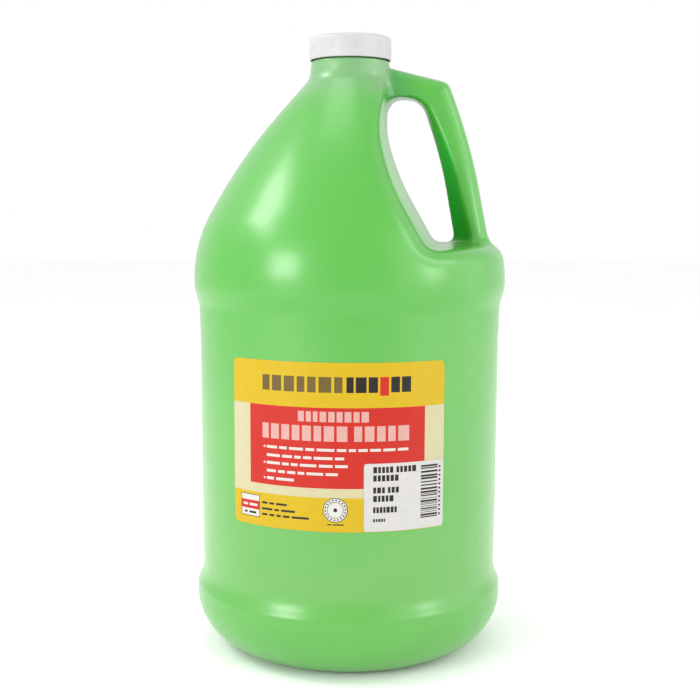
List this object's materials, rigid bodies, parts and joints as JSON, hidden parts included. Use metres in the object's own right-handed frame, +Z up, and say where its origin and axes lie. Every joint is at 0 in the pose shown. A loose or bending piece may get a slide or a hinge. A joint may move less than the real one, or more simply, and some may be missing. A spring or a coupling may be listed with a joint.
{
  "type": "paint jar",
  "caption": "Round blow-moulded paint jug with a hollow grip handle at its shoulder, a screw cap with a sealing liner, a liquid fill, a wrap-on front label and a variant sticker.",
  "frame": {"origin": "middle of the base, on the plane of the contact ring that the jug stands on", "axes": "+Z up along the jug's axis, +X towards the handle, -Y towards the middle of the front label"},
  "size_m": [0.1534, 0.1534, 0.2995],
  "materials": {
    "natural_polyethylene": "satin translucent natural polyethylene, coloured by the paint behind it",
    "liquid_paint": "wet opaque light green paint",
    "white_polypropylene": "fine matte moulded white",
    "liner_foam": "off-white closed-cell foam",
    "label_film": "semi-gloss printed film",
    "sticker_paper": "matt white printed paper"
  },
  "bodies": {
    "jug": {"jug_body": "natural_polyethylene", "paint_fill": "liquid_paint", "front_label": "label_film", "variant_sticker": "sticker_paper"},
    "liner": {"cap_liner": "liner_foam"},
    "cap": {"screw_cap": "white_polypropylene"}
  },
  "joints": [
    {"name": "cap_lift", "type": "slide", "parent": "jug", "child": "liner", "axis": [0, 0, 1], "range_m": [0, 0.0128]},
    {"name": "cap_turn", "type": "hinge", "parent": "liner", "child": "cap", "pos_m": [0, 0, 0.294], "axis": [0, 0, 1], "range_deg": [0, 1080]}
  ],
  "couplings": [
    {"joint": "cap_lift", "follows": "cap_turn", "m_per_rad": 0.00067376}
  ]
}
